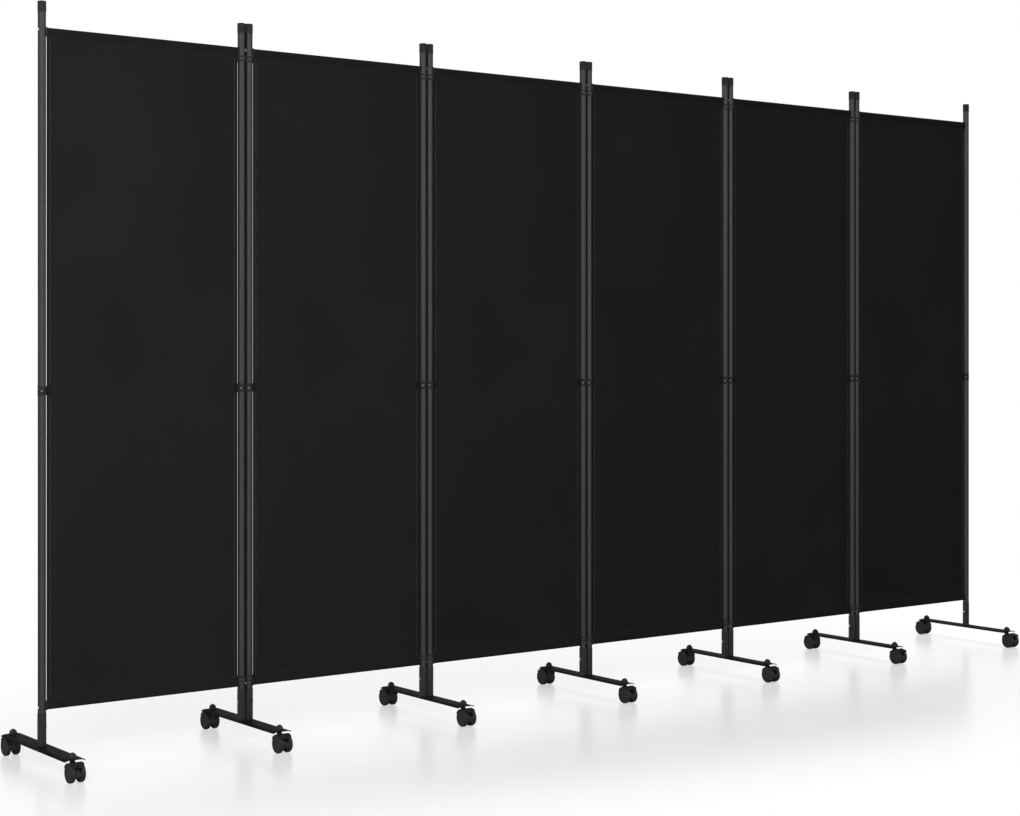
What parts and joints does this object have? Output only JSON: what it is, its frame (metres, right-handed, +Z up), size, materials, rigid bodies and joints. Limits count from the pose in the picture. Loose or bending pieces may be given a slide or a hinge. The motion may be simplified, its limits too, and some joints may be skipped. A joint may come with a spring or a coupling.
{
  "type": "folding room divider",
  "caption": "Freestanding folding room divider: black fabric panels hung between slim steel posts, hinged in a row on crosswise feet with twin-wheel casters and brake levers.",
  "frame": {"origin": "on the floor, at the centre of the box round the whole divider, 4.0 mm from the plane of the post axes towards the brake levers", "axes": "+X along the row of panels, +Y across it away from the brake levers, +Z up"},
  "size_m": [3.3356, 0.4226, 1.8],
  "materials": {
    "post_coat": "satin black powder coat",
    "foot_coat": "satin black powder coat",
    "screen_fabric": "dense matte black polyester weave",
    "fitting_plastic": "fine moulded black",
    "caster_plastic": "moulded black nylon",
    "wheel_plastic": "smooth black nylon tread"
  },
  "bodies": {
    "foot_1": {"foot_1": "foot_coat"},
    "foot_2": {"foot_2": "foot_coat"},
    "foot_3": {"foot_3": "foot_coat"},
    "foot_4": {"foot_4": "foot_coat"},
    "foot_5": {"foot_5": "foot_coat"},
    "foot_6": {"foot_6": "foot_coat"},
    "foot_7": {"foot_7": "foot_coat"},
    "panel_1": {"panel_1_frame": "post_coat", "panel_1_fabric": "screen_fabric", "panel_1_fittings": "fitting_plastic"},
    "panel_2": {"panel_2_frame": "post_coat", "panel_2_fabric": "screen_fabric", "panel_2_fittings": "fitting_plastic"},
    "panel_3": {"panel_3_frame": "post_coat", "panel_3_fabric": "screen_fabric", "panel_3_fittings": "fitting_plastic"},
    "panel_4": {"panel_4_frame": "post_coat", "panel_4_fabric": "screen_fabric", "panel_4_fittings": "fitting_plastic"},
    "panel_5": {"panel_5_frame": "post_coat", "panel_5_fabric": "screen_fabric", "panel_5_fittings": "fitting_plastic"},
    "panel_6": {"panel_6_frame": "post_coat", "panel_6_fabric": "screen_fabric", "panel_6_fittings": "fitting_plastic"},
    "swivel_1_front": {"caster_1_front_yoke": "caster_plastic"},
    "wheels_1_front": {"caster_1_front_wheels": "wheel_plastic"},
    "swivel_1_rear": {"caster_1_rear_yoke": "caster_plastic"},
    "wheels_1_rear": {"caster_1_rear_wheels": "wheel_plastic"},
    "lever_1": {"brake_lever_1": "caster_plastic"},
    "swivel_2_front": {"caster_2_front_yoke": "caster_plastic"},
    "wheels_2_front": {"caster_2_front_wheels": "wheel_plastic"},
    "swivel_2_rear": {"caster_2_rear_yoke": "caster_plastic"},
    "wheels_2_rear": {"caster_2_rear_wheels": "wheel_plastic"},
    "lever_2": {"brake_lever_2": "caster_plastic"},
    "swivel_3_front": {"caster_3_front_yoke": "caster_plastic"},
    "wheels_3_front": {"caster_3_front_wheels": "wheel_plastic"},
    "swivel_3_rear": {"caster_3_rear_yoke": "caster_plastic"},
    "wheels_3_rear": {"caster_3_rear_wheels": "wheel_plastic"},
    "lever_3": {"brake_lever_3": "caster_plastic"},
    "swivel_4_front": {"caster_4_front_yoke": "caster_plastic"},
    "wheels_4_front": {"caster_4_front_wheels": "wheel_plastic"},
    "swivel_4_rear": {"caster_4_rear_yoke": "caster_plastic"},
    "wheels_4_rear": {"caster_4_rear_wheels": "wheel_plastic"},
    "lever_4": {"brake_lever_4": "caster_plastic"},
    "swivel_5_front": {"caster_5_front_yoke": "caster_plastic"},
    "wheels_5_front": {"caster_5_front_wheels": "wheel_plastic"},
    "swivel_5_rear": {"caster_5_rear_yoke": "caster_plastic"},
    "wheels_5_rear": {"caster_5_rear_wheels": "wheel_plastic"},
    "lever_5": {"brake_lever_5": "caster_plastic"},
    "swivel_6_front": {"caster_6_front_yoke": "caster_plastic"},
    "wheels_6_front": {"caster_6_front_wheels": "wheel_plastic"},
    "swivel_6_rear": {"caster_6_rear_yoke": "caster_plastic"},
    "wheels_6_rear": {"caster_6_rear_wheels": "wheel_plastic"},
    "lever_6": {"brake_lever_6": "caster_plastic"},
    "swivel_7_front": {"caster_7_front_yoke": "caster_plastic"},
    "wheels_7_front": {"caster_7_front_wheels": "wheel_plastic"},
    "swivel_7_rear": {"caster_7_rear_yoke": "caster_plastic"},
    "wheels_7_rear": {"caster_7_rear_wheels": "wheel_plastic"},
    "lever_7": {"brake_lever_7": "caster_plastic"}
  },
  "joints": [
    {"name": "fold_foot_4_panel_4", "type": "hinge", "parent": "foot_4", "child": "panel_4", "pos_m": [0.0105, 0.00403, 0], "axis": [0, 0, 1], "range_deg": [-87, 87]},
    {"name": "fold_panel_4_foot_5", "type": "hinge", "parent": "panel_4", "child": "foot_5", "pos_m": [0.5405, 0.00403, 0], "axis": [0, 0, -1], "range_deg": [-87, 87]},
    {"name": "fold_foot_5_panel_5", "type": "hinge", "parent": "foot_5", "child": "panel_5", "pos_m": [0.5615, 0.00403, 0], "axis": [0, 0, -1], "range_deg": [-87, 87]},
    {"name": "fold_panel_5_foot_6", "type": "hinge", "parent": "panel_5", "child": "foot_6", "pos_m": [1.0915, 0.00403, 0], "axis": [0, 0, 1], "range_deg": [-87, 87]},
    {"name": "fold_foot_6_panel_6", "type": "hinge", "parent": "foot_6", "child": "panel_6", "pos_m": [1.1125, 0.00403, 0], "axis": [0, 0, 1], "range_deg": [-87, 87]},
    {"name": "fold_panel_6_foot_7", "type": "hinge", "parent": "panel_6", "child": "foot_7", "pos_m": [1.6425, 0.00403, 0], "axis": [0, 0, -1], "range_deg": [-87, 87]},
    {"name": "fold_foot_4_panel_3", "type": "hinge", "parent": "foot_4", "child": "panel_3", "pos_m": [-0.0105, 0.00403, 0], "axis": [0, 0, -1], "range_deg": [-87, 87]},
    {"name": "fold_panel_3_foot_3", "type": "hinge", "parent": "panel_3", "child": "foot_3", "pos_m": [-0.5405, 0.00403, 0], "axis": [0, 0, 1], "range_deg": [-87, 87]},
    {"name": "fold_foot_3_panel_2", "type": "hinge", "parent": "foot_3", "child": "panel_2", "pos_m": [-0.5615, 0.00403, 0], "axis": [0, 0, 1], "range_deg": [-87, 87]},
    {"name": "fold_panel_2_foot_2", "type": "hinge", "parent": "panel_2", "child": "foot_2", "pos_m": [-1.0915, 0.00403, 0], "axis": [0, 0, -1], "range_deg": [-87, 87]},
    {"name": "fold_foot_2_panel_1", "type": "hinge", "parent": "foot_2", "child": "panel_1", "pos_m": [-1.1125, 0.00403, 0], "axis": [0, 0, -1], "range_deg": [-87, 87]},
    {"name": "fold_panel_1_foot_1", "type": "hinge", "parent": "panel_1", "child": "foot_1", "pos_m": [-1.6425, 0.00403, 0], "axis": [0, 0, 1], "range_deg": [-87, 87]},
    {"name": "brake_1", "type": "hinge", "parent": "swivel_1_front", "child": "lever_1", "pos_m": [-1.6425, -0.19773, 0.04161], "axis": [1, 0, 0], "range_deg": [0, 15]},
    {"name": "brake_2", "type": "hinge", "parent": "swivel_2_front", "child": "lever_2", "pos_m": [-1.102, -0.19773, 0.04161], "axis": [1, 0, 0], "range_deg": [0, 15]},
    {"name": "brake_3", "type": "hinge", "parent": "swivel_3_front", "child": "lever_3", "pos_m": [-0.551, -0.19773, 0.04161], "axis": [1, 0, 0], "range_deg": [0, 15]},
    {"name": "brake_4", "type": "hinge", "parent": "swivel_4_front", "child": "lever_4", "pos_m": [0, -0.19773, 0.04161], "axis": [1, 0, 0], "range_deg": [0, 15]},
    {"name": "brake_5", "type": "hinge", "parent": "swivel_5_front", "child": "lever_5", "pos_m": [0.551, -0.19773, 0.04161], "axis": [1, 0, 0], "range_deg": [0, 15]},
    {"name": "brake_6", "type": "hinge", "parent": "swivel_6_front", "child": "lever_6", "pos_m": [1.102, -0.19773, 0.04161], "axis": [1, 0, 0], "range_deg": [0, 15]},
    {"name": "brake_7", "type": "hinge", "parent": "swivel_7_front", "child": "lever_7", "pos_m": [1.6425, -0.19773, 0.04161], "axis": [1, 0, 0], "range_deg": [0, 15]},
    {"name": "swivel_1_front", "type": "hinge", "parent": "foot_1", "child": "swivel_1_front", "pos_m": [-1.6425, -0.16677, 0.0408], "axis": [0, 0, 1], "continuous": true},
    {"name": "swivel_1_rear", "type": "hinge", "parent": "foot_1", "child": "swivel_1_rear", "pos_m": [-1.6425, 0.17483, 0.0408], "axis": [0, 0, 1], "continuous": true},
    {"name": "swivel_2_front", "type": "hinge", "parent": "foot_2", "child": "swivel_2_front", "pos_m": [-1.102, -0.16677, 0.0408], "axis": [0, 0, 1], "continuous": true},
    {"name": "swivel_2_rear", "type": "hinge", "parent": "foot_2", "child": "swivel_2_rear", "pos_m": [-1.102, 0.17483, 0.0408], "axis": [0, 0, 1], "continuous": true},
    {"name": "swivel_3_front", "type": "hinge", "parent": "foot_3", "child": "swivel_3_front", "pos_m": [-0.551, -0.16677, 0.0408], "axis": [0, 0, 1], "continuous": true},
    {"name": "swivel_3_rear", "type": "hinge", "parent": "foot_3", "child": "swivel_3_rear", "pos_m": [-0.551, 0.17483, 0.0408], "axis": [0, 0, 1], "continuous": true},
    {"name": "swivel_4_front", "type": "hinge", "parent": "foot_4", "child": "swivel_4_front", "pos_m": [0, -0.16677, 0.0408], "axis": [0, 0, 1], "continuous": true},
    {"name": "swivel_4_rear", "type": "hinge", "parent": "foot_4", "child": "swivel_4_rear", "pos_m": [0, 0.17483, 0.0408], "axis": [0, 0, 1], "continuous": true},
    {"name": "swivel_5_front", "type": "hinge", "parent": "foot_5", "child": "swivel_5_front", "pos_m": [0.551, -0.16677, 0.0408], "axis": [0, 0, 1], "continuous": true},
    {"name": "swivel_5_rear", "type": "hinge", "parent": "foot_5", "child": "swivel_5_rear", "pos_m": [0.551, 0.17483, 0.0408], "axis": [0, 0, 1], "continuous": true},
    {"name": "swivel_6_front", "type": "hinge", "parent": "foot_6", "child": "swivel_6_front", "pos_m": [1.102, -0.16677, 0.0408], "axis": [0, 0, 1], "continuous": true},
    {"name": "swivel_6_rear", "type": "hinge", "parent": "foot_6", "child": "swivel_6_rear", "pos_m": [1.102, 0.17483, 0.0408], "axis": [0, 0, 1], "continuous": true},
    {"name": "swivel_7_front", "type": "hinge", "parent": "foot_7", "child": "swivel_7_front", "pos_m": [1.6425, -0.16677, 0.0408], "axis": [0, 0, 1], "continuous": true},
    {"name": "swivel_7_rear", "type": "hinge", "parent": "foot_7", "child": "swivel_7_rear", "pos_m": [1.6425, 0.17483, 0.0408], "axis": [0, 0, 1], "continuous": true},
    {"name": "roll_1_front", "type": "hinge", "parent": "swivel_1_front", "child": "wheels_1_front", "pos_m": [-1.6425, -0.18127, 0.022], "axis": [1, 0, 0], "continuous": true},
    {"name": "roll_1_rear", "type": "hinge", "parent": "swivel_1_rear", "child": "wheels_1_rear", "pos_m": [-1.6425, 0.18933, 0.022], "axis": [1, 0, 0], "continuous": true},
    {"name": "roll_2_front", "type": "hinge", "parent": "swivel_2_front", "child": "wheels_2_front", "pos_m": [-1.102, -0.18127, 0.022], "axis": [1, 0, 0], "continuous": true},
    {"name": "roll_2_rear", "type": "hinge", "parent": "swivel_2_rear", "child": "wheels_2_rear", "pos_m": [-1.102, 0.18933, 0.022], "axis": [1, 0, 0], "continuous": true},
    {"name": "roll_3_front", "type": "hinge", "parent": "swivel_3_front", "child": "wheels_3_front", "pos_m": [-0.551, -0.18127, 0.022], "axis": [1, 0, 0], "continuous": true},
    {"name": "roll_3_rear", "type": "hinge", "parent": "swivel_3_rear", "child": "wheels_3_rear", "pos_m": [-0.551, 0.18933, 0.022], "axis": [1, 0, 0], "continuous": true},
    {"name": "roll_4_front", "type": "hinge", "parent": "swivel_4_front", "child": "wheels_4_front", "pos_m": [0, -0.18127, 0.022], "axis": [1, 0, 0], "continuous": true},
    {"name": "roll_4_rear", "type": "hinge", "parent": "swivel_4_rear", "child": "wheels_4_rear", "pos_m": [0, 0.18933, 0.022], "axis": [1, 0, 0], "continuous": true},
    {"name": "roll_5_front", "type": "hinge", "parent": "swivel_5_front", "child": "wheels_5_front", "pos_m": [0.551, -0.18127, 0.022], "axis": [1, 0, 0], "continuous": true},
    {"name": "roll_5_rear", "type": "hinge", "parent": "swivel_5_rear", "child": "wheels_5_rear", "pos_m": [0.551, 0.18933, 0.022], "axis": [1, 0, 0], "continuous": true},
    {"name": "roll_6_front", "type": "hinge", "parent": "swivel_6_front", "child": "wheels_6_front", "pos_m": [1.102, -0.18127, 0.022], "axis": [1, 0, 0], "continuous": true},
    {"name": "roll_6_rear", "type": "hinge", "parent": "swivel_6_rear", "child": "wheels_6_rear", "pos_m": [1.102, 0.18933, 0.022], "axis": [1, 0, 0], "continuous": true},
    {"name": "roll_7_front", "type": "hinge", "parent": "swivel_7_front", "child": "wheels_7_front", "pos_m": [1.6425, -0.18127, 0.022], "axis": [1, 0, 0], "continuous": true},
    {"name": "roll_7_rear", "type": "hinge", "parent": "swivel_7_rear", "child": "wheels_7_rear", "pos_m": [1.6425, 0.18933, 0.022], "axis": [1, 0, 0], "continuous": true}
  ]
}
